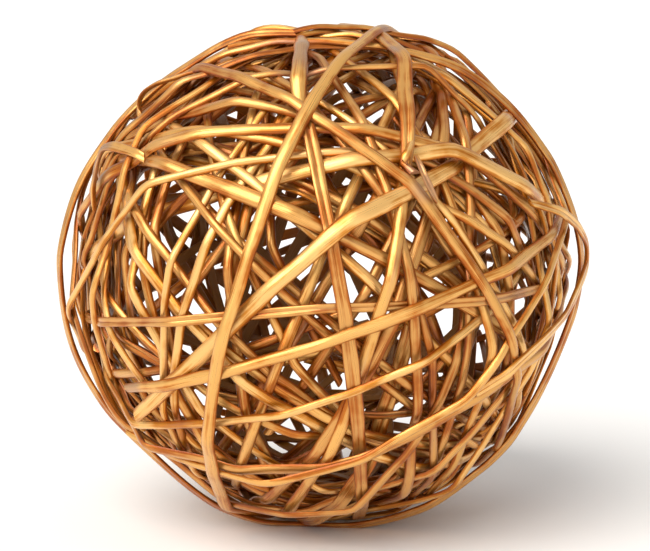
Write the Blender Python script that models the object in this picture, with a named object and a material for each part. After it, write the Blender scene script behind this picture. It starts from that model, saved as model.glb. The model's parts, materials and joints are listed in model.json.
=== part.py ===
# Ornamental ball woven at random from split-willow strips.
# Each strip is one half-round length of willow that runs most or all of the way round the ball.
# A strip's route is a chain of great-circle legs through a few chosen directions, and its
# distance from the middle is worked out so that it clears every strip that it crosses.

import math

import bmesh
import bpy
import numpy as np

# Driving dimensions, in metres and degrees
BALL_RADIUS = 0.125  # middle of the ball to the outer face of the outermost strips
FLAT_DROP = 0.1214  # middle of the ball down to the flat spot that it rests on
STRIP_THICKNESS = 0.0021
CROWN_SHARE = 0.5  # width of a strip's narrow face, as a share of its wide face
CLEARANCE = 0.0004  # air between two strips where they cross
FLOOR_CLEARANCE = 0.0006  # every strip but the two base strips stays this far off the floor
SWEEP = 339.0  # how far round the ball a whole strip runs
BEND_STEP = 18.0  # a strip turns at most about this much between two bends
TOP_LAYER = 0.78  # strips at this level or above keep their place in the order
EASE_SHARE = 0.3  # how far the strips are straightened before they are pressed clear once more

# The contact search lays every strip on one sphere of this radius.
SEARCH_RADIUS = 0.100
SEARCH_SPACING = 0.003
SEARCH_MARGIN = 0.0006
NEAR_ENOUGH = 0.040  # middles of two bends that can touch are closer than this
SAME_CROSSING = 0.027
FEWEST_PAIRS = 9  # places compared at each crossing, and along each bend of a long one
SELF_GAP = 3  # a strip can't touch itself nearer than this many bends along

# Order search
ORDER_SWEEPS = 2
ORDER_SHIFTS = (-0.3, -0.2, -0.12, -0.06, 0.06, 0.12, 0.2, 0.3)
MOST_PASSES = 80
TUCK_REACH = 0.030
TUCK_COST = 1.02

# Strips of the outer face, as (width in mm, level, flat side out, share of the rest of the
# strip that lies before the first direction, directions). A direction is (longitude, latitude)
# in degrees, with longitude 0 at the front and positive to the right, and may add how far
# the strip springs out there, in mm, or FLOOR where it lies flat on the floor. Level 1 is the
# outermost of the strips that cross the front.
FLOOR = -1
OUTER_STRIPS = (
    (5.6, 1.00, False, 0.5, ((30, 71), (-6, 40), (-19, 0), (-25, -20), (-33, -40), (-50, -61),
                             (-109.4, -84.5, FLOOR), (157.3, -76.3, FLOOR))),
    (4.2, 0.93, False, 0.5, ((-67, 5), (-44, 25), (2, 36))),
    (5.6, 0.96, False, 0.0, ((-88, 40), (-87, 47, 7), (-66, 58), (-27, 54), (0, 42), (21, 27), (40, 0),
                             (48, -14), (58, -28))),
    (4.4, 0.72, False, 0.5, ((-36, 59), (-12, 54), (15, 37))),
    (6.4, 0.80, False, 0.5, ((-51, 34), (-30, 40), (-6, 42), (22, 39), (38, 34))),
    (7.8, 0.88, False, 0.0, ((-51, -27), (-29, -12), (-12, 4), (6, 19), (20, 25), (36, 31), (57, 38))),
    (6.8, 0.66, False, 0.8, ((-56, 32), (-38, 30), (-15, 24), (28, 4))),
    (5.4, 0.84, True, 0.5, ((-12, 71), (-7, 50), (5, 0), (12, -42))),
    (6.4, 0.89, False, 0.0, ((-53, -21), (-31, -16), (0, -6), (33, 4), (62, 11))),
    (4.4, 0.86, False, 0.5, ((-72, -24), (-55, -30), (-30, -28), (-8, -22), (12, -15), (40, -3))),
    (6.0, 0.90, False, 0.5, ((-66, -33), (-46, -40), (-10, -41), (11, -35), (48, -17), (78, -7))),
    (5.4, 0.92, False, 0.5, ((-66, -45), (-52, -61), (-14, -58), (12, -53), (24, -37))),
    (4.6, 0.95, False, 0.7, ((84, 22), (78, 15), (57, 3), (45, -8), (34, -20), (24, -27))),
    (6.8, 0.81, False, 0.8, ((-40, 24), (-16, 29), (15, 34), (35, 34), (58, 24), (78, 17), (94, 9))),
    (6.2, 0.86, True, 1.0, ((45, 68), (38, 60), (29, 50), (21, 30))),
    (4.8, 0.76, False, 0.5, ((57, 52), (44, 37), (38, 12), (36, -8), (37, -30))),
    (4.4, 0.82, False, 0.5, ((-50, 66), (-58, 37), (-60, 0), (-66, -12))),
    (4.8, 0.52, False, 0.5, ((-50, 18), (-48, 3), (-36, -18))),
    (4.8, 0.58, False, 0.5, ((-54, 23), (-37, 10), (-27, 0))),
    (4.6, 0.64, True, 0.5, ((-65, -7), (-34, -3), (0, 1), (32, 1))),
    (5.2, 0.54, False, 0.5, ((-19, 24), (-21, 12), (-21, 1))),
    (4.0, 0.42, False, 0.5, ((-30, 22), (-34, 8), (-36, 0))),
    (4.2, 0.57, False, 0.5, ((-35, 26), (-23, 17))),
    (4.8, 0.48, False, 0.5, ((-44, 23), (-41, 0), (-38, -18), (-34, -37))),
    (5.0, 0.60, False, 0.5, ((22, 66), (27, 50), (31, 38))),
    (4.6, 0.79, False, 0.5, ((66, 53), (69, 38), (66, 22))),
    (5.6, 0.70, False, 0.5, ((10, -57), (34, -42), (53, -25))),
    (5.0, 0.50, False, 0.5, ((20, 2), (22, -12))),
    (5.6, 0.70, False, 0.5, ((19, 23), (15, 9), (8, -17))),
    (5.0, 0.40, False, 0.5, ((20, -2), (32, -13))),
    (4.4, 0.50, False, 0.5, ((12, -11), (27, -22))),
    (6.0, 0.62, False, 0.5, ((7, -21), (-1, -34), (-14, -51))),
    (4.6, 0.45, False, 0.5, ((-12, 0), (-6, -12), (2, -23))),
    (5.8, 0.50, False, 0.5, ((-20, -14), (-12, -21))),
    (4.8, 0.45, False, 0.5, ((-19, -26), (-18, -38))),
    (4.6, 0.35, True, 0.5, ((-37, -20), (-10, -27), (1, -28), (22, -27))),
    (4.4, 0.55, False, 0.5, ((-60, -2), (-52, -8), (-40, -16))),
    (4.4, 0.55, False, 0.5, ((-62, 4), (-58, -8), (-53, -19))),
    (4.0, 0.66, False, 0.5, ((35, 60), (46, 57), (55, 50))),
    (5.2, 0.56, False, 0.5, ((40, 26), (50, 17), (57, 9))),
    (4.6, 0.52, False, 0.5, ((27, 24), (36, 18), (49, 11))),
    (4.4, 0.68, False, 0.5, ((24, 29), (30, 20), (37, 11))),
    (4.4, 0.45, False, 0.5, ((31, 9), (23, 6))),
    (4.4, 0.50, False, 0.5, ((8, 37), (16, 24), (20, 10))),
    (5.0, 0.42, False, 0.5, ((10, 31), (0, 12), (-13, -20))),
    (4.8, 0.50, False, 0.5, ((-14, 41), (-21, 27))),
    (5.8, 1.03, True, 0.5, ((-60, 72), (-86, 46, 1), (-86, 20, 4), (-85, 5, 5), (-82, -11, 3), (-74, -39),
                            (-60, -61), (-38, -78, FLOOR), (33, -76.3, FLOOR), (57, -60), (73, -42),
                            (85, -8, 3), (90, 3, 6), (88, 13, 4), (84, 28), (62, 60))),
    (5.0, 0.44, False, 0.5, ((-104, 24), (-82, -11), (-60, -42))),
    (5.2, 0.46, False, 0.3, ((36, 80), (87, 50), (95, 4))),
    (4.8, 0.43, False, 0.5, ((122, 62), (85, 24), (74, -12))),
)

# Strips that lie deepest, spread evenly round the ball
INNER_COUNT = 7
INNER_WIDTH = 5.4
INNER_LEVEL = 0.10

GOLD_TONES = ((0.56, 0.31, 0.10), (0.62, 0.37, 0.13), (0.45, 0.23, 0.08), (0.34, 0.17, 0.07))


class Strip:
    """One length of willow: its bends as unit directions, and its distances from the middle."""

    def __init__(self, width, level, flat_out, before, points):
        self.width = width / 1000
        self.level = level
        self.flat_out = flat_out
        self.dirs, self.springs, self.on_floor = lay_route(points, before)
        self.count = len(self.dirs)
        self.turns = np.arccos(np.clip((self.dirs[1:] * self.dirs[:-1]).sum(axis=1), -1, 1))
        ahead = np.empty_like(self.dirs)
        ahead[1:-1] = self.dirs[2:] - self.dirs[:-2]
        ahead[0] = self.dirs[1] - self.dirs[0]
        ahead[-1] = self.dirs[-1] - self.dirs[-2]
        self.sides = unit(np.cross(ahead, self.dirs))
        self.arcs = np.concatenate([[0.0], np.cumsum(self.turns)]) * SEARCH_RADIUS
        self.middles = (self.dirs[1:] + self.dirs[:-1]) / 2 * SEARCH_RADIUS
        self.sample()

    def sample(self):
        """Points along both edges and the middle of the strip, laid on the search sphere."""
        places = []
        for bend, turn in enumerate(self.turns):
            parts = max(4, math.ceil(turn * SEARCH_RADIUS / SEARCH_SPACING))
            places += [bend + part / parts for part in range(parts)]
        places.append(self.count - 1 - 1e-9)
        places = np.array(places)
        bends = places.astype(int)
        share = (places - bends)[:, None]
        middle = self.dirs[bends] * (1 - share) + self.dirs[bends + 1] * share
        side = self.sides[bends] * (1 - share) + self.sides[bends + 1] * share
        across = np.array([-0.5, 0.0, 0.5]) * self.width
        points = middle[:, None, :] * SEARCH_RADIUS + side[:, None, :] * across[None, :, None]
        self.sample_points = points.reshape(-1, 3)
        self.sample_places = np.repeat(places, 3)
        self.sample_bends = np.repeat(bends, 3)


def unit(vectors):
    return vectors / np.linalg.norm(vectors, axis=-1, keepdims=True)


def direction(longitude, latitude):
    lon = math.radians(longitude)
    lat = math.radians(latitude)
    return np.array([math.cos(lat) * math.sin(lon), -math.cos(lat) * math.cos(lon), math.sin(lat)])


def longitude_latitude(vector):
    return math.degrees(math.atan2(vector[0], -vector[1])), math.degrees(math.asin(vector[2]))


def travel(start, towards, angle):
    """The direction reached by turning from start towards another direction."""
    ahead = unit(towards - start * (start @ towards))
    return math.cos(angle) * start + math.sin(angle) * ahead


def lay_route(points, before):
    """Every bend of a strip: directions, how far each springs out, and which lie on the floor."""
    step = math.radians(BEND_STEP)
    chosen = [direction(*point[:2]) for point in points]
    marks = [point[2] if len(point) > 2 else 0.0 for point in points]
    legs = [math.acos(float(a @ b)) for a, b in zip(chosen, chosen[1:])]
    rest = math.radians(SWEEP) - sum(legs)
    bends = [(chosen[0], marks[0])]
    for a, b, leg, mark in zip(chosen, chosen[1:], legs, marks[1:]):
        parts = max(1, math.ceil(leg / step - 0.25))
        bends += [(travel(a, b, leg * part / parts), 0.0) for part in range(1, parts)]
        bends.append((b, mark))
    for share, corner, inner, at_start in (
        (before, chosen[0], chosen[1], True),
        (1 - before, chosen[-1], chosen[-2], False),
    ):
        parts = math.ceil(rest * share / step - 1e-6)
        run = [(travel(corner, inner, -rest * share * part / parts), 0.0) for part in range(1, parts + 1)]
        bends = run[::-1] + bends if at_start else bends + run
    dirs, marks = (np.array(column) for column in zip(*bends))
    return dirs, np.maximum(marks, 0) / 1000, marks == FLOOR


def inner_strips():
    """Strips round evenly spread axes, for the depth of the ball."""
    golden_angle = math.pi * (3 - math.sqrt(5))
    strips = []
    for index in range(INNER_COUNT):
        height = 0.9 * (1 - (2 * index + 1) / INNER_COUNT)
        turn = golden_angle * index + 0.7
        reach = math.sqrt(1 - height**2)
        axis = np.array([reach * math.cos(turn), reach * math.sin(turn), height])
        side = unit(np.cross(axis, direction(20, 60)))
        start = travel(side, np.cross(axis, side), 1.9 * index)
        towards = travel(side, np.cross(axis, side), 1.9 * index + 0.5)
        points = (longitude_latitude(start), longitude_latitude(towards))
        strips.append(Strip(INNER_WIDTH, INNER_LEVEL + 0.01 * index, False, 0.5, points))
    return strips


def nearest_places(strip, bends, points):
    """Where along the strip each point lies, and how far to the side."""
    start = strip.dirs[bends] * SEARCH_RADIUS
    run = strip.dirs[bends + 1] * SEARCH_RADIUS - start
    share = ((points[:, None, :] - start) * run).sum(axis=2) / (run**2).sum(axis=1)
    share = np.clip(share, 0, 1)
    away = points[:, None, :] - start - run * share[..., None]
    outward = unit(points)[:, None, :]
    away -= (away * outward).sum(axis=2, keepdims=True) * outward
    distance = np.linalg.norm(away, axis=2)
    best = distance.argmin(axis=1)
    rows = np.arange(len(points))
    return bends[best] + share[rows, best], distance[rows, best]


def crossings_of(strips):
    """Every crossing, as the two strips' numbers, its middle, and pairs of places in contact."""
    found = []
    for i, first in enumerate(strips):
        for j in range(i, len(strips)):
            second = strips[j]
            near = np.linalg.norm(first.middles[:, None] - second.middles[None], axis=2) < NEAR_ENOUGH
            if i == j:
                near &= np.subtract.outer(np.arange(len(near)), np.arange(len(near))) <= -SELF_GAP
            for first_half in halves(first):
                for second_half in halves(second):
                    close = near & np.outer(first_half, second_half)
                    if close.any():
                        found += [(i, j, *crossing) for crossing in contacts(first, second, close)]
    return found


def halves(strip):
    """The runs between bends in each half of the strip, as two masks."""
    runs = np.arange(strip.count - 1)
    return runs < strip.count // 2, runs >= strip.count // 2


def contacts(first, second, close):
    """The crossings between the runs marked close, as a middle and pairs of places in contact."""
    here = []
    for one, other, mine, swapped in ((first, second, close, False), (second, first, close.T, True)):
        chosen = np.nonzero(mine.any(axis=1)[one.sample_bends])[0]
        bends = np.nonzero(mine.any(axis=0))[0]
        places, distance = nearest_places(other, bends, one.sample_points[chosen])
        touching = distance < other.width / 2 + SEARCH_MARGIN
        if touching.any():
            group_contacts(one, chosen[touching], places[touching], swapped, here)
    return [(middle, spread_out(pairs)) for middle, pairs in here]


def group_contacts(one, samples, places, swapped, here):
    """Adds the touching samples to the crossings found so far between the same two strips."""
    along = np.interp(one.sample_places[samples], np.arange(one.count), one.arcs)
    cuts = np.nonzero(np.diff(along) > SAME_CROSSING / 2)[0] + 1
    for group, there in zip(np.split(samples, cuts), np.split(places, cuts)):
        middle = one.sample_points[group].mean(axis=0)
        mine = one.sample_places[group]
        pairs = list(zip(there, mine)) if swapped else list(zip(mine, there))
        for known_middle, known_pairs in here:
            if np.linalg.norm(known_middle - middle) < SAME_CROSSING:
                known_pairs += pairs
                break
        else:
            here.append((middle, pairs))


def spread_out(pairs):
    """Some of the pairs of places, evenly spread along the crossing, with both its ends."""
    ordered = np.array(sorted(pairs))
    wanted = FEWEST_PAIRS * max(1, math.ceil(np.ptp(ordered, axis=0).max()))
    kept = np.unique(np.linspace(0, len(ordered) - 1, wanted).round().astype(int))
    return ordered[kept]


class Weave:
    """The strips' distances from the middle, held apart at every crossing."""

    def __init__(self, strips):
        self.strips = strips
        self.first_bend = np.concatenate([[0], np.cumsum([strip.count for strip in strips])])
        self.total = int(self.first_bend[-1])
        self.crossings = crossings_of(strips)
        self.firsts = np.array([crossing[0] for crossing in self.crossings])
        self.seconds = np.array([crossing[1] for crossing in self.crossings])
        self.make_rows()
        self.measure_dips(np.full(self.total, SEARCH_RADIUS))
        self.set_limits()

    def make_rows(self):
        """One row for each pair of touching places: the four bends that it hangs on, and their shares."""
        bends, shares, owners, turns = [], [], [], []
        for number, (i, j, _, pairs) in enumerate(self.crossings):
            columns = []
            for strip_number, places in ((i, pairs[:, 0]), (j, pairs[:, 1])):
                strip = self.strips[strip_number]
                bend = np.minimum(places.astype(int), strip.count - 2)
                share = places - bend
                columns.append((bend + self.first_bend[strip_number], share, strip.turns[bend]))
            (bend_a, share_a, turn_a), (bend_b, share_b, turn_b) = columns
            bends.append(np.stack([bend_a, bend_a + 1, bend_b, bend_b + 1], axis=1))
            shares.append(np.stack([1 - share_a, share_a, share_b - 1, -share_b], axis=1))
            turns.append(np.stack([turn_a, turn_b], axis=1))
            owners.append(np.full(len(pairs), number))
        self.bends = np.concatenate(bends)
        self.shares = np.concatenate(shares)
        self.turns = np.concatenate(turns)
        self.owners = np.concatenate(owners)
        grounded = np.array([strip.on_floor.any() for strip in self.strips])
        rolled = grounded[self.firsts] | grounded[self.seconds]
        roll_room = 0.0008
        self.needed = STRIP_THICKNESS + CLEARANCE + roll_room * rolled[self.owners]

    def measure_dips(self, radii):
        """How far the straight run between two bends dips below the arc through them."""
        dips = []
        for column, turn in ((0, self.turns[:, 0]), (2, self.turns[:, 1])):
            share = np.abs(self.shares[:, column + 1])
            radius = radii[self.bends[:, column]] * (1 - share) + radii[self.bends[:, column + 1]] * share
            dips.append(radius * (1 - np.cos(turn)) * share * (1 - share))
        self.dip_difference = dips[0] - dips[1]

    def set_limits(self):
        """The furthest out that each bend may lie."""
        limits = []
        for strip in self.strips:
            furthest = BALL_RADIUS - STRIP_THICKNESS + strip.springs
            down = np.maximum(-strip.dirs[:, 2], 1e-6)
            edge_drop = strip.width / 2 * np.abs(strip.sides[:, 2])
            off_floor = (FLAT_DROP - FLOOR_CLEARANCE - edge_drop) / down - STRIP_THICKNESS
            on_floor = (FLAT_DROP - STRIP_THICKNESS) / down
            limits.append(np.minimum(furthest, np.where(strip.on_floor, on_floor, off_floor)))
        self.limits = np.concatenate(limits)

    def press_in(self, over, start):
        """Moves lower strips inwards until every crossing is clear. Says whether it got there."""
        sign = over[self.owners]
        shares = self.shares * sign[:, None]
        needed = self.needed + sign * self.dip_difference
        moving = np.minimum(shares, 0)
        moving = moving / (moving**2).sum(axis=1, keepdims=True)
        radii = start.copy()
        for _ in range(MOST_PASSES):
            short = needed - (radii[self.bends] * shares).sum(axis=1)
            bad = short > 1e-6
            if not bad.any():
                return radii, True
            move = np.zeros(self.total)
            np.minimum.at(move, self.bends[bad].ravel(), (short[bad][:, None] * moving[bad]).ravel())
            radii = np.maximum(radii + move, 0)
        return radii, False

    def order(self, levels):
        """1 where the first strip of a crossing lies over the second, and -1 where it lies under."""
        return np.where(levels[self.firsts] > levels[self.seconds], 1.0, -1.0)

    def stack_cost(self, over):
        """How thick the shell gets with every strip as far out as the ones above it let it be."""
        radii, settled = self.press_in(over, self.limits)
        cost = ((self.limits - radii) ** 1.5).mean()
        return cost if settled else math.inf

    def choose_order(self):
        """Moves the deeper strips up or down the order wherever that makes the shell thinner."""
        levels = np.array([strip.level + 1e-4 * n for n, strip in enumerate(self.strips)])
        best = self.stack_cost(self.order(levels))
        for _ in range(ORDER_SWEEPS):
            for number in np.nonzero(levels < TOP_LAYER)[0]:
                home = levels[number]
                for shift in ORDER_SHIFTS:
                    trial = levels.copy()
                    trial[number] = min(max(home + shift, 0.01), TOP_LAYER - 0.01) + 1e-4 * number / 60
                    cost = self.stack_cost(self.order(trial))
                    if cost < best:
                        best = cost
                        levels = trial
        return self.order(levels)

    def weave_over(self, over):
        """Tucks each strip's ends under the last strip that they cross, where there is room."""
        best = self.stack_cost(over)
        for number, strip in enumerate(self.strips):
            for end_arc in (0.0, strip.arcs[-1]):
                for crossing in self.crossings_near(number, end_arc):
                    under = -1.0 if self.firsts[crossing] == number else 1.0
                    over, best = self.try_swap(over, crossing, under, best)
        return over

    def crossings_near(self, number, end_arc):
        """The crossing nearest to this end of a strip, if one is within reach."""
        strip = self.strips[number]
        near = []
        for index in np.nonzero((self.firsts == number) | (self.seconds == number))[0]:
            pairs = self.crossings[index][3]
            places = pairs[:, 0] if self.firsts[index] == number else pairs[:, 1]
            gap = np.abs(np.interp(places, np.arange(strip.count), strip.arcs) - end_arc).max()
            if gap < TUCK_REACH:
                near.append((gap, index))
        return [index for _, index in sorted(near)[:1]]

    def try_swap(self, over, crossing, wanted, best):
        if over[crossing] == wanted:
            return over, best
        trial = over.copy()
        trial[crossing] = wanted
        cost = self.stack_cost(trial)
        if cost < best * TUCK_COST:
            return trial, cost
        return over, best

    def straighten(self, radii):
        """Each bend moved part of the way to the middle of its two neighbours."""
        eased = radii.copy()
        for start, end in zip(self.first_bend, self.first_bend[1:]):
            run = radii[start:end]
            level = (run[:-2] + run[2:]) / 2
            eased[start + 1:end - 1] += EASE_SHARE * (level - run[1:-1])
        return np.minimum(eased, self.limits)

    def settle(self):
        """Distances from the middle that clear every crossing and stay inside the limits."""
        over = self.weave_over(self.choose_order())
        radii, _ = self.press_in(over, self.limits)
        self.measure_dips(radii)
        pinned = np.concatenate([strip.on_floor | (strip.springs > 0) for strip in self.strips])
        start = np.where(pinned, self.limits, self.straighten(radii))
        radii, settled = self.press_in(over, start)
        deepest = (self.limits - radii).max() * 1000
        print("every crossing clear:", settled, "deepest, in mm:", round(deepest, 1))
        return radii


def section_corners(strip, radii):
    """The four corners of the strip at every bend, as an array of bends by corners by xyz."""
    normals = np.where(strip.on_floor[:, None], np.array([0.0, 0.0, -1.0]), strip.dirs)
    ahead = np.cross(strip.dirs, strip.sides)
    sides = unit(np.cross(ahead, normals))
    wide = sides * strip.width / 2
    narrow = wide * CROWN_SHARE
    below = strip.dirs * radii[:, None]
    above = below + normals * STRIP_THICKNESS
    inner, outer = (narrow, wide) if strip.flat_out else (wide, narrow)
    return np.stack([below - inner, below + inner, above + outer, above - outer], axis=1)


def gold_willow(name, tone):
    material = bpy.data.materials.new(name)
    material.use_nodes = True
    shader = material.node_tree.nodes["Principled BSDF"]
    shader.inputs["Base Color"].default_value = (*tone, 1.0)
    shader.inputs["Roughness"].default_value = 0.42
    shader.inputs["Metallic"].default_value = 0.35
    return material


def add_strip(name, corners, material):
    """A closed strip: one section face, extruded from bend to bend."""
    mesh = bpy.data.meshes.new(name)
    shape = bmesh.new()
    front = shape.faces.new([shape.verts.new(corner) for corner in corners[0]])
    for section in corners[1:]:
        made = bmesh.ops.extrude_face_region(shape, geom=[front, *front.edges])
        front = next(item for item in made["geom"] if isinstance(item, bmesh.types.BMFace))
        for vertex, corner in zip(front.verts, section):
            vertex.co = corner
    bmesh.ops.recalc_face_normals(shape, faces=shape.faces)
    shape.to_mesh(mesh)
    shape.free()
    mesh.shade_smooth()
    mesh.set_sharp_from_angle(angle=math.radians(35))
    mesh.materials.append(material)
    strip_object = bpy.data.objects.new(name, mesh)
    bpy.context.scene.collection.objects.link(strip_object)
    return strip_object


def clear_scene():
    for item in list(bpy.data.objects):
        bpy.data.objects.remove(item, do_unlink=True)


def main():
    clear_scene()
    strips = [Strip(*row) for row in OUTER_STRIPS]
    strips += inner_strips()
    weave = Weave(strips)
    radii = weave.settle()
    bends = weave.first_bend
    sections = [section_corners(s, radii[bends[n]:bends[n + 1]]) for n, s in enumerate(strips)]
    everything = np.concatenate([section.reshape(-1, 3) for section in sections])
    lowest = everything.min(axis=0)
    highest = everything.max(axis=0)
    middle = (lowest + highest) / 2
    shift = np.array([middle[0], middle[1], lowest[2]])
    tones = [gold_willow(f"gold_willow_{n + 1}", tone) for n, tone in enumerate(GOLD_TONES)]
    for number, section in enumerate(sections):
        tone = tones[number % len(tones)]
        add_strip(f"willow_strip_{number + 1:02d}", section - shift, tone)


main()
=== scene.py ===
import json
import math

import bmesh
import bpy
import numpy as np
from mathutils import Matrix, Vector
from mathutils.kdtree import KDTree


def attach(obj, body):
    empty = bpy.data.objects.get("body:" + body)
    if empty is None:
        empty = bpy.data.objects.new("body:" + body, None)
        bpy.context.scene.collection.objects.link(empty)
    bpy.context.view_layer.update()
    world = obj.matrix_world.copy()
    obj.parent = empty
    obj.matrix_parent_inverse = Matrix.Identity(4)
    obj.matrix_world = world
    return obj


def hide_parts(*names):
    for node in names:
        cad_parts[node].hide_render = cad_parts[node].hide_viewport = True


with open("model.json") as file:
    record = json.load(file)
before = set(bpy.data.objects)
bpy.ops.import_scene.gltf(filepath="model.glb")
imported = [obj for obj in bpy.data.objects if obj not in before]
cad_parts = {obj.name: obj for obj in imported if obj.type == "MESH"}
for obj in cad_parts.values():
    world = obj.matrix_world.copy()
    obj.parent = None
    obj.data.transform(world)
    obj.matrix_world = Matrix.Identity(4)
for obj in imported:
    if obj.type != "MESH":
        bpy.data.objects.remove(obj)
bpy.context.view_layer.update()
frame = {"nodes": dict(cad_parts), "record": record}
nodeSlots = {row["node"]: row["material_slot"] for row in frame["record"]["subparts"]}

# everything is in metres, with the ball resting on z = 0
ball = {
    "centre": np.array([-0.00077, -0.00041, 0.1214]),
    "outerLimit": 0.1258,  # outer face of the outermost strips, where they don't spring out
    "halfBox": np.array([0.1295, 0.1248, 0.1250]),
    "stripRadius": 0.11,  # turns angles along a strip into lengths
    "crossingRadius": 0.108,  # turns angles between two strips into lengths
}

strip = {
    "thickness": 0.0023,
    "spacing": 0.0033,  # between two sections along a strip
    "kinkRounding": 0.5,  # in sections, as the next one
    "depthRounding": 2.0,
    "runDegrees": (30, 50),  # length of its straight runs between two creases
    "unevenRuns": 0.12,  # how far a crease strays, as a share of a run
    "straightness": 0.85,  # 0 follows the ball, 1 cuts straight from crease to crease
    "depthShare": 0.4,  # the strips lie this share as deep as the CAD strips do
}

# the one strip that springs out beyond the others
springy = {"straightness": 0.2, "depthShare": 1.0, "leanDegrees": -24.0}

rng = np.random.default_rng(11)


def unit(vectors):
    return vectors / np.linalg.norm(vectors, axis=-1, keepdims=True)


def smoothAlong(values, width):
    # soft average over this many values to each side
    reach = max(1, int(round(width * 3)))
    weights = np.exp(-0.5 * (np.arange(-reach, reach + 1) / width) ** 2)
    weights /= weights.sum()
    padded = np.pad(values, ((reach, reach),) + ((0, 0),) * (values.ndim - 1), mode="edge")
    if values.ndim == 1:
        return np.convolve(padded, weights, mode="valid")
    return np.stack([np.convolve(column, weights, mode="valid") for column in padded.T], axis=1)


def wander(count, period, seed):
    # smooth random line from -1 to 1
    knots = np.random.default_rng(seed).uniform(-1, 1, int(count / period) + 4)
    places = np.linspace(0, len(knots) - 1.001, count)
    low = places.astype(int)
    share = places - low
    share = share * share * (3 - 2 * share)
    return knots[low] * (1 - share) + knots[low + 1] * share


def nearEnds(count, reach):
    # 1 at both ends of a strip, falling to 0 over this many sections
    return np.interp(np.arange(count), (0, reach, count - 1 - reach, count - 1), (1, 0, 0, 1))


def degreesBetween(ways, others):
    return np.degrees(np.arccos(np.clip((ways * others).sum(axis=-1), -1, 1)))


# how the sections of a CAD strip are told apart
cadStrip = {
    "sameRing": 0.009,  # corners of one section are nearer than this, and two sections are further apart
    "kinkDegrees": 4.0,  # a strip that turns more than this is creased there
}


def sectionsOf(node):
    # the CAD strip's sections in order, each as its four corners
    shape = bmesh.new()
    shape.from_mesh(node.data)
    bmesh.ops.remove_doubles(shape, verts=shape.verts, dist=0.00001)
    ringOf = {}
    rings = []
    for start in shape.verts:
        if start in ringOf:
            continue
        ringOf[start] = len(rings)
        queue = [start]
        ring = []
        while queue:
            here = queue.pop()
            ring.append(here)
            for edge in here.link_edges:
                other = edge.other_vert(here)
                if other not in ringOf and edge.calc_length() < cadStrip["sameRing"]:
                    ringOf[other] = len(rings)
                    queue.append(other)
        rings.append(ring)
    joined = [set() for _ in rings]
    for edge in shape.edges:
        first, second = (ringOf[vert] for vert in edge.verts)
        if first != second:
            joined[first].add(second)
            joined[second].add(first)
    order = [min(n for n in range(len(rings)) if len(joined[n]) == 1)]
    while len(order) < len(rings):
        order.append(next(n for n in joined[order[-1]] if n not in order))
    corners = np.array([[tuple(vert.co) for vert in rings[n]] for n in order])
    shape.free()
    return corners


def readStrip(node):
    # middle line, width and facing of a CAD strip
    corners = sectionsOf(node) - ball["centre"]
    distance = np.linalg.norm(corners, axis=2)
    inOrder = np.take_along_axis(corners, distance.argsort(axis=1)[:, :, None], axis=1)
    innerWidth = np.linalg.norm(inOrder[:, 0] - inOrder[:, 1], axis=1).mean()
    outerWidth = np.linalg.norm(inOrder[:, 2] - inOrder[:, 3], axis=1).mean()
    middle = corners.mean(axis=1)
    return {
        "name": node.name,
        "radii": np.linalg.norm(middle, axis=1),
        "ways": unit(middle),
        "width": max(innerWidth, outerWidth),
        "flatOut": bool(outerWidth > innerWidth),
    }


def creasesOf(ways, arcs):
    # where the strip turns sideways, with further creases so that no straight run is too long
    before = unit(np.cross(ways[:-2], ways[1:-1]))
    after = unit(np.cross(ways[1:-1], ways[2:]))
    kinked = degreesBetween(before, after) > cadStrip["kinkDegrees"]
    fixed = [0.0, *arcs[1:-1][kinked], arcs[-1]]
    creases = [0.0]
    for start, end in zip(fixed, fixed[1:]):
        parts = max(1, round((end - start) / math.radians(rng.uniform(*strip["runDegrees"]))))
        strayed = rng.uniform(-strip["unevenRuns"], strip["unevenRuns"], parts - 1)
        shares = np.arange(1, parts) / parts + strayed / parts
        creases += [start + (end - start) * share for share in shares] + [end]
    return np.array(creases)


def straightRuns(places, creases, radii, straightness):
    # distances from the middle with straight runs between the creases
    leg = np.clip(np.searchsorted(creases, places, side="right") - 1, 0, len(creases) - 2)
    start, end = creases[leg], creases[leg + 1]
    first, last = np.interp(start, places, radii), np.interp(end, places, radii)
    straight = first * last * np.sin(end - start)
    straight = straight / (first * np.sin(places - start) + last * np.sin(end - places))
    return radii + straightness * (straight - radii)


# where a strip dives deeper than its CAD strip: longitude and latitude with 0 at the front,
# how far round it reaches in degrees, and how deep
dives = (
    ("willow_strip_02", 45, 28, 28, 0.030), ("willow_strip_14", -46, 22, 24, 0.030),
    ("willow_strip_15", 23, -12, 30, 0.030), ("willow_strip_43", -20, -20, 90, 0.016),
    ("willow_strip_06", 44, 32, 12, 0.012), ("willow_strip_12", 49, 14, 34, 0.034),
    ("willow_strip_08", -12, 88, 12, 0.045), ("willow_strip_10", 56, 3, 16, 0.024),
)

# strips that are broader or narrower than their CAD strip, or lean over
ownShape = {
    "willow_strip_01": {"broader": 1.18},
    "willow_strip_08": {"broader": 1.18},
    "willow_strip_09": {"broader": 0.9},
    "willow_strip_14": {"broader": 1.08},
    "willow_strip_15": {"broader": 1.15, "leanDegrees": -26.0},
}


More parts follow.
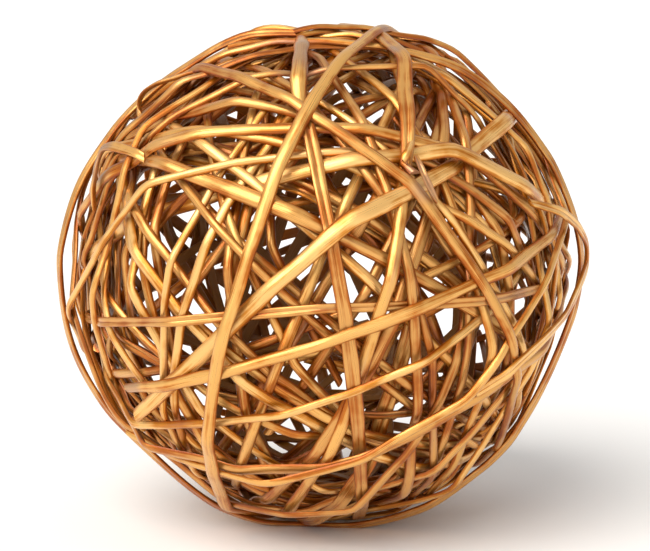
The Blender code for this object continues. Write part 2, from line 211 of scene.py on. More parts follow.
def resample(found):
    # even sections along the great circles between the CAD sections, with the kinks rounded
    bends = found["ways"]
    turns = np.arccos(np.clip((bends[1:] * bends[:-1]).sum(axis=1), -1, 1))
    arcs = np.concatenate([[0], np.cumsum(turns)])
    count = int(arcs[-1] * ball["stripRadius"] / strip["spacing"])
    places = np.linspace(0, arcs[-1], count)
    leg = np.clip(np.searchsorted(arcs, places, side="right") - 1, 0, len(turns) - 1)
    share = ((places - arcs[leg]) / turns[leg])[:, None]
    turn = turns[leg][:, None]
    ways = (bends[leg] * np.sin((1 - share) * turn) + bends[leg + 1] * np.sin(share * turn)) / np.sin(turn)
    found["ways"] = unit(smoothAlong(ways, strip["kinkRounding"]))
    found["creases"] = creasesOf(bends, arcs)
    found["places"] = places
    found["count"] = count
    found["radii"] = smoothAlong(np.interp(places, arcs, found["radii"]), strip["depthRounding"])
    for name, longitude, latitude, reach, depth in dives:
        if name == found["name"]:
            away = degreesBetween(found["ways"], towards(longitude, latitude))
            found["radii"] -= depth * np.exp(-((away / reach) ** 2))
    own = ownShape.get(found["name"], {})
    found["width"] *= own.get("broader", 1.0)
    found["leanDegrees"] = own.get("leanDegrees", 0.0)
    if found["radii"].max() > ball["outerLimit"]:
        found.update(springy)
    return found


def towards(longitude, latitude):
    # longitude 0 and latitude 0 are the front
    turn, rise = math.radians(longitude), math.radians(latitude)
    return np.array([math.sin(turn) * math.cos(rise), -math.cos(turn) * math.cos(rise), math.sin(rise)])


# thin strips that fill the ball between the broad ones: tilt of the strip's plane away from
# the front, in degrees, and distance from the middle
fineStrips = {
    "limb": {"count": 10, "width": (0.0042, 0.0062), "radius": (0.1120, 0.1200), "tilt": (3, 20)},
    "body": {"count": 12, "width": (0.0042, 0.0058), "radius": (0.088, 0.101), "tilt": (24, 60)},
    "deep": {"count": 8, "width": (0.0044, 0.0062), "radius": (0.078, 0.090), "tilt": (62, 88)},
}
fineCourse = {
    "sweepDegrees": (250, 335),
    "start": (0, 6.28),  # angle round the axis, in radians
    "turn": 2.399963,  # from one strip's axis to the next, the golden angle, so that no two agree
    "tiltStep": 0.618,  # golden share, for the same reason
    "sway": 0.09,  # to the sides, in radians
    "inAndOut": (0.003, 40),  # by how much, and over how many sections
    "flatOutEvery": 4,
    "aside": np.array([0.3, 0.1, 1.0]),  # a way that none of the axes has
}


def addFine(kind, firstIndex):
    # thin strips round evenly turned axes, from the outermost to the deepest
    made = []
    for number in range(kind["count"]):
        index = firstIndex + number
        tilt = math.radians(np.interp((number * fineCourse["tiltStep"]) % 1, (0, 1), kind["tilt"]))
        turn = index * fineCourse["turn"]
        axis = np.array([math.sin(tilt) * math.cos(turn), math.cos(tilt), math.sin(tilt) * math.sin(turn)])
        sweep = math.radians(rng.uniform(*fineCourse["sweepDegrees"]))
        count = int(sweep * ball["stripRadius"] / strip["spacing"])
        places = np.linspace(0, sweep, count)
        angles = places + rng.uniform(*fineCourse["start"])
        first = unit(np.cross(axis, fineCourse["aside"]))
        second = np.cross(axis, first)
        ways = np.cos(angles)[:, None] * first + np.sin(angles)[:, None] * second
        runs = max(2, round(sweep / math.radians(rng.uniform(*strip["runDegrees"]))))
        creases = np.linspace(0, sweep, runs + 1)
        sway = rng.uniform(-fineCourse["sway"], fineCourse["sway"], runs + 1)
        sideways = smoothAlong(np.interp(places, creases, sway), strip["kinkRounding"])
        share = (number + 0.5) / kind["count"]
        level = np.interp(share, (0, 1), kind["radius"][::-1])
        inAndOut, period = fineCourse["inAndOut"]
        made.append({
            "name": f"fine_strip_{index + 1:02d}",
            "radii": level + inAndOut * wander(count, period, 700 + index),
            "ways": unit(ways + axis * sideways[:, None]),
            "width": rng.uniform(*kind["width"]),
            "flatOut": index % fineCourse["flatOutEvery"] == 0,
            "count": count,
            "places": places,
            "creases": creases,
        })
    return made


# strip ends that fold or loop over at the outside, through points in mm from the ball's middle
curls = {
    "curled_end_top": {
        "width": 0.0036, "flatOut": True,
        "points": ((-61.4, -33.0, 104.0), (-76.1, -26.3, 97.6), (-88.0, -19.0, 90.8), (-90.6, -17.0, 86.6),
                   (-89.4, -18.6, 82.6), (-86.0, -22.0, 79.0)),
    },
    "folded_end_left": {
        "width": 0.0050, "flatOut": True,
        "points": ((-76.0, -63.5, 60.1), (-84.0, -64.3, 65.3), (-97.1, -48.0, 67.4), (-102.4, -41.6, 65.8),
                   (-103.6, -41.0, 61.7), (-106.0, -43.0, 54.4), (-109.4, -42.1, 46.3),
                   (-110.4, -40.5, 38.0)),
    },
    "knotted_end_front": {
        "width": 0.0044, "flatOut": False,
        "points": ((41.0, -92.4, 74.5), (40.4, -96.4, 71.6), (38.4, -99.8, 69.2), (37.0, -101.6, 66.9),
                   (35.6, -99.4, 63.4)),
    },
    "cut_end_front": {
        "width": 0.0042, "flatOut": False,
        "points": ((35.2, -98.8, 66.4), (37.6, -100.6, 64.9), (40.2, -102.4, 62.6), (43.0, -104.0, 60.1)),
    },
    "frayed_end_front": {
        "width": 0.0034, "flatOut": True,
        "points": ((42.0, -97.0, 68.0), (43.2, -101.4, 64.8), (44.4, -104.0, 60.0), (46.4, -104.8, 55.4),
                   (49.0, -103.4, 50.5), (51.2, -100.4, 46.6)),
    },
    "worn_end_top": {
        "width": 0.0070, "flatOut": False,
        "points": ((-8.9, -28.3, 116.8), (-9.1, -44.3, 114.4), (-9.4, -60.2, 109.4), (-10.1, -70.0, 103.4),
                   (-10.5, -76.5, 98.3), (-10.0, -79.5, 92.7), (-9.1, -79.6, 87.3), (-8.1, -79.1, 82.4)),
    },
    "loop_right": {
        "width": 0.0050, "flatOut": True,
        "points": ((99.1, -62.5, 43.7), (112.1, -46.8, 36.5), (121.6, -32.0, 28.5), (128.6, -19.0, 17.9),
                   (129.4, -17.5, 8.3), (125.5, -27.5, 1.6), (121.0, -36.0, -5.2), (115.6, -47.5, -11.3),
                   (102.9, -69.5, -18.9), (87.9, -83.9, -29.3), (71.6, -92.7, -42.9)),
    },
}
curlBends = {"closerSections": 1.5, "rounding": 1.3}  # rounding in sections


def addCurl(name, curl):
    points = np.array(curl["points"]) / 1000
    along = np.concatenate([[0], np.cumsum(np.linalg.norm(np.diff(points, axis=0), axis=1))])
    count = int(along[-1] / strip["spacing"] * curlBends["closerSections"])
    even = np.linspace(0, along[-1], count)
    line = np.stack([np.interp(even, along, column) for column in points.T], axis=1)
    middle = smoothAlong(line, curlBends["rounding"])
    return {
        "name": name,
        "radii": np.linalg.norm(middle, axis=1),
        "ways": unit(middle),
        "width": curl["width"],
        "flatOut": curl["flatOut"],
        "count": count,
        "places": even / ball["stripRadius"],
        "creases": np.array([0, even[-1] / ball["stripRadius"]]),
        "straightness": 0.0,
    }


# how the strips settle against each other
settling = {
    "rounds": 110,
    "meetShare": 0.42,  # two middle lines nearer than this share of both widths have to pass each other
    "lookAround": 0.062,  # as an angle in radians
    "ownSections": 12,  # a strip doesn't cross itself nearer than this along its length
    "sameCrossing": 3,  # in sections, the widest break within one crossing
    "edgeRoom": 0.3,  # share of the room that isn't needed where only the edges meet
    "push": 1.5,
    "pushWidth": 1.5,  # in sections, as the next one
    "stiffWidth": 3.0,
    "stiffness": 0.1,  # each round
    "lastRounds": 12,  # in which nothing straightens again
    "lastRounding": 0.8,  # in sections
    "outerHalf": 0.0012,  # from a strip's middle line to its outer face
    "slack": 0.0003,
    "endTuck": 0.0045,  # how far the ends are pushed in under their neighbours
    "tuckSections": 9,
    "dentDegrees": 17.0,
    "dents": (  # towards, and how far the ball is pressed in there, or bulges out
        ((-0.70, -0.10, -0.70), 0.0040), ((-0.58, 0.12, 0.80), 0.0050), ((0.97, -0.03, -0.20), 0.0030),
        ((0.64, 0.10, 0.76), -0.0050), ((-0.94, -0.05, -0.34), -0.0018), ((-0.02, 0.12, 0.99), -0.0014),
        ((0.72, -0.05, -0.70), 0.0030), ((-1.0, 0.0, 0.10), 0.0014),
    ),
}


def touchingPairs(paths):
    # pairs of sections that have to pass each other, and how far apart they are from 0 to 1
    ways = np.concatenate([path["ways"] for path in paths])
    owner = np.repeat(np.arange(len(paths)), [path["count"] for path in paths])
    width = np.array([path["width"] for path in paths])[owner]
    tree = KDTree(len(ways))
    for number, way in enumerate(ways):
        tree.insert(Vector(way), number)
    tree.balance()
    first, second, apart = [], [], []
    for number, way in enumerate(ways):
        for _, other, distance in tree.find_range(Vector(way), settling["lookAround"]):
            if other <= number:
                continue
            if owner[other] != owner[number] or other - number > settling["ownSections"]:
                first.append(number)
                second.append(other)
                apart.append(distance)
    first, second, apart = np.array(first), np.array(second), np.array(apart) * ball["crossingRadius"]
    reach = settling["meetShare"] * (width[first] + width[second])
    keep = apart < reach
    return first[keep], second[keep], (apart / reach)[keep]


def whoIsOver(first, second, radii, ends):
    # 1 where the first strip lies over the second and -1 where it lies under, the same all
    # through one crossing
    firstOwner = np.searchsorted(ends, first, side="right")
    secondOwner = np.searchsorted(ends, second, side="right")
    order = np.lexsort((first, firstOwner * (len(ends) + 1) + secondOwner))
    owners = np.stack([firstOwner, secondOwner], axis=1)[order]
    isNew = (owners[1:] != owners[:-1]).any(axis=1) | (np.diff(first[order]) > settling["sameCrossing"])
    crossing = np.empty(len(first), int)
    crossing[order] = np.concatenate([[0], np.cumsum(isNew)])
    lead = np.bincount(crossing, weights=radii[first] - radii[second])
    return np.where(lead[crossing] > 0, 1.0, -1.0)


def outermost(radii, ways):
    # how far out each section's middle may lie
    toBox = (ball["halfBox"] / np.maximum(np.abs(ways), 1e-6)).min(axis=1)
    outer = np.minimum(ball["outerLimit"], toBox) - settling["outerHalf"]
    limit = np.maximum(radii + settling["slack"], outer)
    down = np.maximum(-ways[:, 2], 1e-6)
    return np.minimum(limit, (ball["centre"][2] - settling["outerHalf"]) / down)


def pressApart(paths):
    # every crossing gets a strip's thickness of room, and the strips stay stiff
    first, second, apart = touchingPairs(paths)
    counts = [path["count"] for path in paths]
    ends = np.cumsum(counts)[:-1]
    radii = np.concatenate([path["radii"] for path in paths])
    ways = np.concatenate([path["ways"] for path in paths])
    over = whoIsOver(first, second, radii, ends)
    wanted = strip["thickness"] * (1.0 - settling["edgeRoom"] * apart**2)
    limit = outermost(radii, ways)
    shares = np.repeat([path.get("depthShare", strip["depthShare"]) for path in paths], counts)
    radii = limit - shares * (limit - radii)
    radii = np.concatenate([
        straightRuns(path["places"], path["creases"], piece, path.get("straightness", strip["straightness"]))
        for path, piece in zip(paths, np.split(radii, ends))
    ])
    tucked = np.concatenate([nearEnds(count, settling["tuckSections"]) for count in counts])
    radii = radii - settling["endTuck"] * tucked
    rest = radii.copy()
    for step in range(settling["rounds"]):
        short = wanted - over * (radii[first] - radii[second])
        bad = short > 0
        outwards = np.zeros(len(radii))
        inwards = np.zeros(len(radii))
        upper = np.where(over > 0, first, second)[bad]
        lower = np.where(over > 0, second, first)[bad]
        np.maximum.at(outwards, upper, short[bad] * 0.5)
        np.maximum.at(inwards, lower, short[bad] * 0.5)
        pieces = np.split(outwards - inwards, ends)
        move = np.concatenate([smoothAlong(piece, settling["pushWidth"]) for piece in pieces])
        radii = radii + move * settling["push"]
        if step < settling["rounds"] - settling["lastRounds"]:
            strayed = radii - rest
            pieces = np.split(strayed, ends)
            eased = np.concatenate([smoothAlong(piece, settling["stiffWidth"]) for piece in pieces])
            radii = rest + strayed * (1 - settling["stiffness"]) + eased * settling["stiffness"]
        radii = np.minimum(radii, limit)
    closed = short[short > settling["slack"]]
    print("  crossings still closed:", len(closed), "of", len(short))
    print("  the worst of them, in metres:", closed.max(initial=0))
    for way, depth in settling["dents"]:
        away = degreesBetween(ways, unit(np.array(way)))
        radii = radii - depth * np.exp(-((away / settling["dentDegrees"]) ** 2))
    for path, piece in zip(paths, np.split(radii, ends)):
        path["radii"] = smoothAlong(piece, settling["lastRounding"])


# sections, as across from -1 to 1, height from 0 on the inner side to 1 on the outer side, and
# how far the paint thins out there, which is also painted shade: darker edges, inner side and pith line
halfRound = (
    (-0.88, 0.00, 1.0), (-0.45, 0.02, 1.0), (0.00, 0.06, 1.0), (0.45, 0.02, 1.0), (0.88, 0.00, 1.0),
    (1.00, 0.12, 0.75), (0.98, 0.32, 0.5), (0.86, 0.58, 0.25), (0.62, 0.83, 0.06), (0.32, 0.98, 0.0),
    (0.00, 1.03, 0.0), (-0.32, 0.98, 0.0), (-0.62, 0.83, 0.06), (-0.86, 0.58, 0.25), (-0.98, 0.32, 0.5),
    (-1.00, 0.12, 0.75),
)

# flat side out: two soft ridges with the pith line sunk between them
pithOut = (
    (-0.62, 0.15, 1.0), (-0.32, 0.03, 1.0), (0.00, 0.00, 1.0), (0.32, 0.03, 1.0), (0.62, 0.15, 1.0),
    (0.88, 0.40, 0.8), (1.00, 0.66, 0.65), (0.97, 0.86, 0.45), (0.80, 1.00, 0.15), (0.45, 0.98, 0.0),
    (0.14, 0.93, 0.06), (0.00, 0.85, 0.28), (-0.14, 0.93, 0.06), (-0.45, 0.98, 0.0), (-0.80, 1.00, 0.15),
    (-0.97, 0.86, 0.45), (-1.00, 0.66, 0.65), (-0.88, 0.40, 0.8),
)

# how uneven a split strip is: by how much, and over how many sections it changes
uneven = {"rollDegrees": (13.0, 22), "width": (0.09, 12), "thickness": (0.08, 9), "edge": (0.07, 4)}
stripEnd = {"taper": 0.75, "taperSections": 8, "slant": 0.6}
thickerWhenWide = {"width": (0.004, 0.0078), "thicker": (0.94, 1.18)}


def profileOf(path):
    return np.array(pithOut if path["flatOut"] else halfRound)


def changes(kind, count, seed):
    amount, period = uneven[kind]
    return amount * wander(count, period, seed)


def sectionPoints(path, seed):
    # all section points of a strip, as sections by points by xyz
    count = path["count"]
    middle = path["ways"] * path["radii"][:, None]
    ahead = unit(np.gradient(middle, axis=0))
    side = unit(np.cross(ahead, path["ways"]))
    out = np.cross(side, ahead)
    roll = np.radians(changes("rollDegrees", count, seed) + path.get("leanDegrees", 0.0))[:, None]
    side, out = side * np.cos(roll) + out * np.sin(roll), out * np.cos(roll) - side * np.sin(roll)
    profile = profileOf(path)
    width = path["width"] * (1 + changes("width", count, seed + 1))
    taper = 1 - (1 - stripEnd["taper"]) * nearEnds(count, stripEnd["taperSections"])
    edge = 1 + np.stack([changes("edge", count, seed + 3), changes("edge", count, seed + 4)], axis=1)
    half = (width * taper / 2)[:, None] * np.where(profile[None, :, 0] < 0, edge[:, :1], edge[:, 1:])
    thick = strip["thickness"] * (1 + changes("thickness", count, seed + 2))
    thick = thick * np.interp(path["width"], thickerWhenWide["width"], thickerWhenWide["thicker"])
    slant = np.zeros(count)
    slant[0], slant[-1] = np.random.default_rng(seed + 5).choice((-1, 1), 2) * stripEnd["slant"]
    across = (profile[None, :, 0] * half)[:, :, None]
    height = (profile[None, :, 1:2] - 0.5) * thick[:, None, None]
    points = middle[:, None] + side[:, None] * across + out[:, None] * height + ball["centre"]
    points += ahead[:, None] * across * slant[:, None, None]
    points[..., 2] = np.maximum(points[..., 2], 0)
    return points


# hair-like splinters that lift off the strips
fibres = {
    "count": 24, "length": (0.010, 0.026), "thickness": 0.00026, "lift": 0.22, "sideways": 0.5,
    "sections": 10, "sides": 5, "tip": 0.1,
    "fromStrips": 50, "step": 17,  # which strips they grow from
    "root": 0.45,  # height over the strip's middle, as a share of its thickness
}


def addFibres(paths):
    # each one starts flat on a strip and bends away from it
    sweeps = []
    steps = np.linspace(0, 1, fibres["sections"])[:, None]
    angles = np.arange(fibres["sides"]) * math.tau / fibres["sides"]
    for number in range(fibres["count"]):
        path = paths[(number * fibres["step"]) % fibres["fromStrips"]]
        start = int(path["count"] * rng.uniform(0.1, 0.9))
        middle = path["ways"] * path["radii"][:, None]
        ahead = unit(middle[start + 1] - middle[start])
        out = path["ways"][start]
        side = np.cross(ahead, out)
        length = rng.uniform(*fibres["length"])
        turn = rng.uniform(-fibres["sideways"], fibres["sideways"])
        bend = ahead * steps + out * fibres["lift"] * steps**2 + side * turn * steps**2
        line = middle[start] + out * strip["thickness"] * fibres["root"] + length * bend
        line = np.clip(line, -ball["halfBox"], ball["halfBox"])
        ring = np.array([side * math.cos(angle) + out * math.sin(angle) for angle in angles])
        size = fibres["thickness"] / 2 * (1 + fibres["tip"] - steps[:, :, None])
        sweeps.append(line[:, None] + ring[None] * size + ball["centre"])
    return sweeps


def placeAlong(face):
    # the extrusion leaves the faces in another order each time, and this puts them in order
    numbers = [vert.index for vert in face.verts]
    return max(numbers) * 10000.0 + min(numbers)


def sweepStrips(name, sweeps):
    # each sweep is a ring of edges, extruded from section to section and closed at both ends
    shape = bmesh.new()
    for points in sweeps:
        sweepOne(shape, points)
    bmesh.ops.holes_fill(shape, edges=shape.edges, sides=0)
    bmesh.ops.recalc_face_normals(shape, faces=shape.faces)
    shape.verts.index_update()
    shape.faces.sort(key=placeAlong)
    mesh = bpy.data.meshes.new(name)
    shape.to_mesh(mesh)
    shape.free()
    return mesh


def sweepOne(shape, points):
    ring = [shape.verts.new(point) for point in points[0]]
    edges = [shape.edges.new((ring[n - 1], ring[n])) for n in range(len(ring))]
    shape.faces.new(ring)
    for section in points[1:]:
        made = bmesh.ops.extrude_edge_only(shape, edges=edges)["geom"]
        edges = [item for item in made if isinstance(item, bmesh.types.BMEdge) and item.is_boundary]
        verts = [item for item in made if isinstance(item, bmesh.types.BMVert)]
        for vert, point in zip(verts, section):
            vert.co = point


# how much paint reaches a strip: less in the depth of the ball and on its inner side. This is painted shade
# as well: deep strips, inner sides and edges turn darker
sprayAndShadeReach = {"bareFrom": 0.094, "fullAfter": 0.026, "inTheShadedDepth": 0.6, "lostAndShadedAtEdges": 0.72}


def paintMap(mesh, points, thinAndShaded, offset):
    # the strip's own map, in metres along and around, and how much paint reached each point, with painted
    # shade in the depth, on the inner side and at the edges
    sides = points.shape[1]
    number = np.empty(len(mesh.loops), int)
    mesh.loops.foreach_get("vertex_index", number)
    half = len(points) // 2
    along = np.concatenate([[0], np.cumsum(np.linalg.norm(np.diff(points.mean(axis=1), axis=0), axis=1))])
    around = np.concatenate([[0], np.cumsum(np.linalg.norm(np.diff(points[half], axis=0), axis=1))])
    station, corner = number // sides, number % sides
    v = around[corner]
    starts = np.empty(len(mesh.polygons), int)
    totals = np.empty(len(mesh.polygons), int)
    mesh.polygons.foreach_get("loop_start", starts)
    mesh.polygons.foreach_get("loop_total", totals)
    whole = around[-1] + np.linalg.norm(points[half, 0] - points[half, -1])
    for start in starts[totals == 4]:
        here = slice(start, start + 4)
        if (corner[here] == sides - 1).any():
            v[here] = np.where(corner[here] == 0, whole, v[here])
    uv = mesh.uv_layers.new(name="strip")
    uv.data.foreach_set("uv", np.stack([along[station] + offset, v + offset * 3.7], axis=1).ravel())
    distance = np.linalg.norm(points - ball["centre"], axis=2)
    outwards = np.clip((distance - sprayAndShadeReach["bareFrom"]) / sprayAndShadeReach["fullAfter"], 0, 1)
    deep = sprayAndShadeReach["inTheShadedDepth"]
    # painted shade: the share falls deep in the ball and at the thinned parts of each section, its edges and
    # inner side
    reachedAndShaded = (deep + (1 - deep) * outwards) * (1 - sprayAndShadeReach["lostAndShadedAtEdges"] * thinAndShaded[None, :])
    paint = mesh.attributes.new("paint", "FLOAT", "POINT")
    paint.data.foreach_set("value", reachedAndShaded.ravel())


def toLinear(code):
    values = [int(code[n:n + 2], 16) / 255 for n in (0, 2, 4)]
    return tuple(v / 12.92 if v <= 0.04045 else ((v + 0.055) / 1.055) ** 2.4 for v in values) + (1.0,)


def addNode(tree, kind, links=None, **settings):
    # adds a node with its settings, and links sockets into it by name or number
    node = tree.nodes.new(kind)
    for key, value in settings.items():
        if key.startswith("_"):
            node.inputs[int(key[1:])].default_value = value
        elif hasattr(node, key):
            setattr(node, key, value)
        else:
            node.inputs[key.replace("_", " ")].default_value = value
    for key, socket in (links or {}).items():
        tree.links.new(socket, node.inputs[key])
    return node


# gold-painted split willow: a satin metallic gold spray over straight grain. The paint thins to
# bare brown willow along the edges, on the inner side and deep in the ball, and this darkening is
# also painted shade. A few worn places show the greyish pink of the wood, and some of them are
# also painted highlights and sheen.
goldPaint = {
    "gold_willow_1": {"dark": "944202", "mid": "BC6A0A", "light": "E4AC5C"},
    "gold_willow_2": {"dark": "A04E04", "mid": "C67A14", "light": "F0BC70"},
    "gold_willow_3": {"dark": "863802", "mid": "B2600A", "light": "D89E52"},
    "gold_willow_4": {"dark": "803602", "mid": "B06010", "light": "D29850"},
}
# the dark colour is painted shade where little paint reached; the pale worn colour also paints highlights
# and sheen
bareAndShadedWillow = {"shade": "96661E", "wornAndSheen": "B08668"}

# the wood's pattern, as mm along the strip and mm across, or as mm for the clouds, and how much
# each one changes the tone. Real grain is finer, and is drawn this coarse so that it shows.
woodPattern = {
    "grain": {"size": (22.2, 0.4167), "weight": 0.34},
    "streaks": {"size": (35.7, 1.923), "weight": 1.1},
    "clouds": {"size": 19.2, "weight": 1.35},
    "wornAndSheen": {"size": (62.5, 5.26)},
}

# worn places, some of them also painted highlights, as mm from the ball's middle and how far they reach
wornAndHighlightSpots = (
    ((-88.5, -74.5, -41.7), 9.0), ((41.0, -103.0, 62.0), 6.0), ((47.0, -104.0, 54.0), 9.0),
    ((111.7, -54.0, -22.0), 5.0), ((-9.5, -56.0, 111.5), 18.0), ((33.0, -42.0, 112.0), 6.0),
    ((52.0, -111.9, 3.5), 2.2), ((-101.0, -44.0, 66.0), 9.0), ((-105.0, -42.0, 57.0), 10.0),
    ((30.0, -14.0, 120.1), 6.0),
)


def perMetre(size):
    # noise scale for a pattern of this size in mm
    return round(1000 / size)


def alongStrip(tree, uv, kind, detail):
    # noise drawn out along the strip
    long, broad = woodPattern[kind]["size"]
    place = addNode(tree, "ShaderNodeMapping", {"Vector": uv}, Scale=(perMetre(long), perMetre(broad), 1))
    noise = addNode(tree, "ShaderNodeTexNoise", {"Vector": place.outputs[0]}, Scale=1.0, Detail=detail)
    return noise.outputs[0]


def wornAndSheenShareOf(tree, uv, place, grain):
    # worn patches at random, which also paint a pale sheen, and the larger ones at their places, some of
    # them painted highlights, with ragged edges
    # random pale patches: partly wear, partly painted sheen
    patches = alongStrip(tree, uv, "wornAndSheen", 4.0)
    share = addNode(tree, "ShaderNodeMapRange", {"Value": patches}, From_Min=0.60, From_Max=0.82,
                    To_Max=0.7).outputs[0]
    for spot, reach in wornAndHighlightSpots:
        centre = tuple(np.array(spot) / 1000 + ball["centre"])
        away = addNode(tree, "ShaderNodeVectorMath", {0: place}, operation="DISTANCE", _1=centre)
        ragged = addNode(tree, "ShaderNodeMath", {0: grain, 2: away.outputs["Value"]},
                         operation="MULTIPLY_ADD", _1=0.004).outputs[0]
        near = addNode(tree, "ShaderNodeMapRange", {"Value": ragged}, From_Min=reach / 1000 + 0.002,
                       From_Max=reach / 2000 + 0.002, To_Max=0.7).outputs[0]
        share = addNode(tree, "ShaderNodeMath", {0: share, 1: near}, operation="MAXIMUM").outputs[0]
    return share


def goldWillow(name, tones):
    material = bpy.data.materials.new(name)
    material.use_nodes = True
    tree = material.node_tree
    shader = tree.nodes["Principled BSDF"]
    uv = addNode(tree, "ShaderNodeUVMap", uv_map="strip").outputs["UV"]
    place = addNode(tree, "ShaderNodeTexCoord").outputs["Object"]
    paint = addNode(tree, "ShaderNodeAttribute", attribute_name="paint").outputs["Fac"]

    grain = alongStrip(tree, uv, "grain", 3.0)
    streaks = alongStrip(tree, uv, "streaks", 2.0)
    clouds = addNode(tree, "ShaderNodeTexNoise", {"Vector": place},
                     Scale=float(perMetre(woodPattern["clouds"]["size"])), Detail=3.0).outputs[0]
    # the tone starts from the paint share, so the painted shade also pulls the tone towards the dark stop
    tone = paint
    for noise, kind in ((grain, "grain"), (streaks, "streaks"), (clouds, "clouds")):
        centred = addNode(tree, "ShaderNodeMath", {0: noise}, operation="SUBTRACT", _1=0.5).outputs[0]
        tone = addNode(tree, "ShaderNodeMath", {0: centred, 2: tone}, operation="MULTIPLY_ADD",
                       _1=woodPattern[kind]["weight"]).outputs[0]
    ramp = addNode(tree, "ShaderNodeValToRGB", {0: tone})
    stops = ramp.color_ramp.elements
    stops[0].position, stops[0].color = 0.35, toLinear(tones["dark"])
    stops[1].position, stops[1].color = 1.0, toLinear(tones["light"])
    stops.new(0.72).color = toLinear(tones["mid"])

    wornAndSheenShare = wornAndSheenShareOf(tree, uv, place, grain)
    # the pale worn colour mixes in, as wear and as painted highlight and sheen
    withWornAndSheen = addNode(tree, "ShaderNodeMix", {0: wornAndSheenShare, 6: ramp.outputs[0]}, data_type="RGBA",
                       _7=toLinear(bareAndShadedWillow["wornAndSheen"])).outputs[2]
    # painted shade: where little paint reached, deep in the ball, on the inner side and at the edges, the
    # colour turns to the dark shade colour and the metal fades
    coveredAndUnshaded = addNode(tree, "ShaderNodeMapRange", {"Value": paint}, From_Min=0.1, From_Max=0.6).outputs[0]
    colour = addNode(tree, "ShaderNodeMix", {0: coveredAndUnshaded, 7: withWornAndSheen}, data_type="RGBA",
                     _6=toLinear(bareAndShadedWillow["shade"])).outputs[2]
    tree.links.new(colour, shader.inputs["Base Color"])

    rough = addNode(tree, "ShaderNodeMapRange", {"Value": grain}, To_Min=0.2, To_Max=0.4).outputs[0]
    tree.links.new(rough, shader.inputs["Roughness"])
    metal = addNode(tree, "ShaderNodeMapRange", {"Value": coveredAndUnshaded}, To_Max=0.68).outputs[0]
    tree.links.new(metal, shader.inputs["Metallic"])
    shader.inputs["Coat Weight"].default_value = 0.3
    shader.inputs["Coat Roughness"].default_value = 0.2
    relief = addNode(tree, "ShaderNodeMath", {0: streaks, 1: grain}, operation="ADD").outputs[0]
    bump = addNode(tree, "ShaderNodeBump", {"Height": relief}, Strength=0.5, Distance=0.0003)
    tree.links.new(bump.outputs["Normal"], shader.inputs["Normal"])
    return material


sharpEdgeDegrees = 50
mapStep = 0.731  # in metres, so that every strip has a stretch of grain of its own


def addPiece(name, sweeps, thinAndShaded, offset, slot, materials):
    mesh = sweepStrips(name, sweeps)
    paintMap(mesh, np.concatenate(sweeps), thinAndShaded, offset)
    mesh.shade_smooth()
    mesh.set_sharp_from_angle(angle=math.radians(sharpEdgeDegrees))
    mesh.materials.append(materials[slot])
    piece = bpy.data.objects.new(name, mesh)
    bpy.context.scene.collection.objects.link(piece)
    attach(piece, "root")
    return piece


def buildBall():
    materials = {slot: goldWillow("sprayed_" + slot, tones) for slot, tones in goldPaint.items()}
    cadStrips = [resample(readStrip(frame["nodes"][name])) for name in sorted(frame["nodes"])]
    print("strips read:", len(cadStrips))
    paths = list(cadStrips)
    for kind in fineStrips.values():
        paths += addFine(kind, len(paths) - len(cadStrips))
    paths += [addCurl(name, curl) for name, curl in curls.items()]
    pressApart(paths)
    print("strips pressed apart")
    slots = sorted(goldPaint)
    for number, path in enumerate(paths):
        points = sectionPoints(path, 1000 + 10 * number)
        # the profile's last column: thinner paint, and painted shade, at the edges, the inner side and the
        # pith line
        thinAndShaded = profileOf(path)[:, 2]
        slot = nodeSlots.get(path["name"], slots[number % len(slots)])
        piece = addPiece("painted_" + path["name"], [points], thinAndShaded, number * mapStep, slot, materials)
        if path["name"] in nodeSlots:
            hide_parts(path["name"])
    print("strips swept:", len(paths))
    addPiece("loose_fibres", addFibres(paths), np.zeros(fibres["sides"]), 0.3, "gold_willow_2", materials)
    print("fibres added:", fibres["count"])


studio = {
    "floor": {"half": 80.0, "colour": "F4F3F1", "roughness": 0.9},
    "suns": {
        "key": {"place": (-0.9, -1.1, 1.5), "spreadDegrees": 55, "strength": 3.3, "colour": "FFFBF6"},
        "fill": {"place": (0.5, -1.3, 0.3), "spreadDegrees": 40, "strength": 0.4, "colour": "FFFFFF"},
    },
    "world": {"colour": "FFFFFF", "strength": 0.62},
}


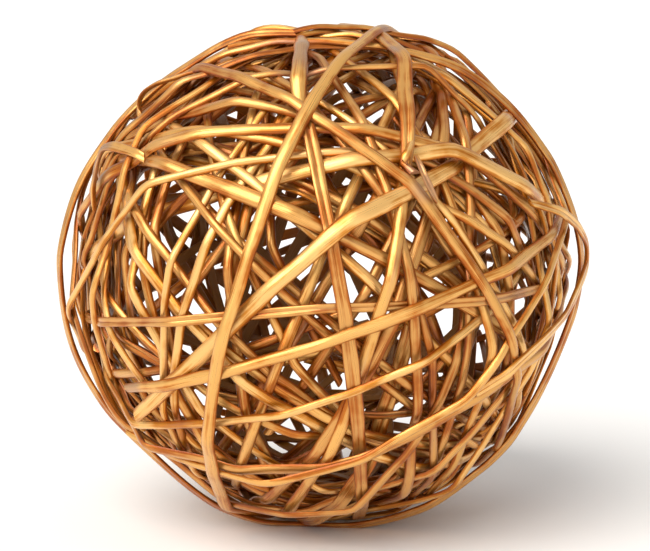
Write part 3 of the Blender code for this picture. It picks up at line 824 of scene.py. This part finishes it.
def addFloor():
    floorLook = studio["floor"]
    shape = bmesh.new()
    bmesh.ops.create_grid(shape, x_segments=1, y_segments=1, size=floorLook["half"])
    mesh = bpy.data.meshes.new("floor")
    shape.to_mesh(mesh)
    shape.free()
    floor = bpy.data.objects.new("floor", mesh)
    bpy.context.scene.collection.objects.link(floor)
    paper = bpy.data.materials.new("matt_white_paper")  # soft and even, with no gloss
    paper.use_nodes = True
    shader = paper.node_tree.nodes["Principled BSDF"]
    shader.inputs["Base Color"].default_value = toLinear(floorLook["colour"])
    shader.inputs["Roughness"].default_value = floorLook["roughness"]
    mesh.materials.append(paper)


def addLights():
    middle = Vector(ball["centre"])
    for name, sun in studio["suns"].items():
        data = bpy.data.lights.new(name, "SUN")
        data.angle = math.radians(sun["spreadDegrees"])
        data.energy = sun["strength"]
        data.color = toLinear(sun["colour"])[:3]
        lamp = bpy.data.objects.new(name, data)
        lamp.location = sun["place"]
        lamp.rotation_euler = (middle - Vector(sun["place"])).to_track_quat("-Z", "Y").to_euler()
        bpy.context.scene.collection.objects.link(lamp)
    world = bpy.data.worlds.new("studio")
    world.use_nodes = True
    background = world.node_tree.nodes["Background"]
    background.inputs["Color"].default_value = toLinear(studio["world"]["colour"])
    background.inputs["Strength"].default_value = studio["world"]["strength"]
    bpy.context.scene.world = world
    bpy.context.scene.view_settings.view_transform = "Standard"


cameraPlace = {
    "distance": 1.0, "riseDegrees": 8, "near": 0.05,
    "sensor": 36, "lens": 112.5415,  # in mm
    "shift": 0.006154,  # share of the picture's width, to the side
}


def addCamera():
    data = bpy.data.cameras.new("camera")
    data.sensor_width = cameraPlace["sensor"]
    data.lens = cameraPlace["lens"]
    data.shift_x = cameraPlace["shift"]
    data.clip_start = cameraPlace["near"]
    camera = bpy.data.objects.new("camera", data)
    rise = math.radians(cameraPlace["riseDegrees"])
    back = Vector((0, -math.cos(rise), math.sin(rise)))
    camera.location = Vector(ball["centre"]) + back * cameraPlace["distance"]
    camera.rotation_euler = (math.radians(90) - rise, 0, 0)
    bpy.context.scene.collection.objects.link(camera)
    bpy.context.scene.camera = camera


addCamera()
buildBall()
addFloor()
addLights()
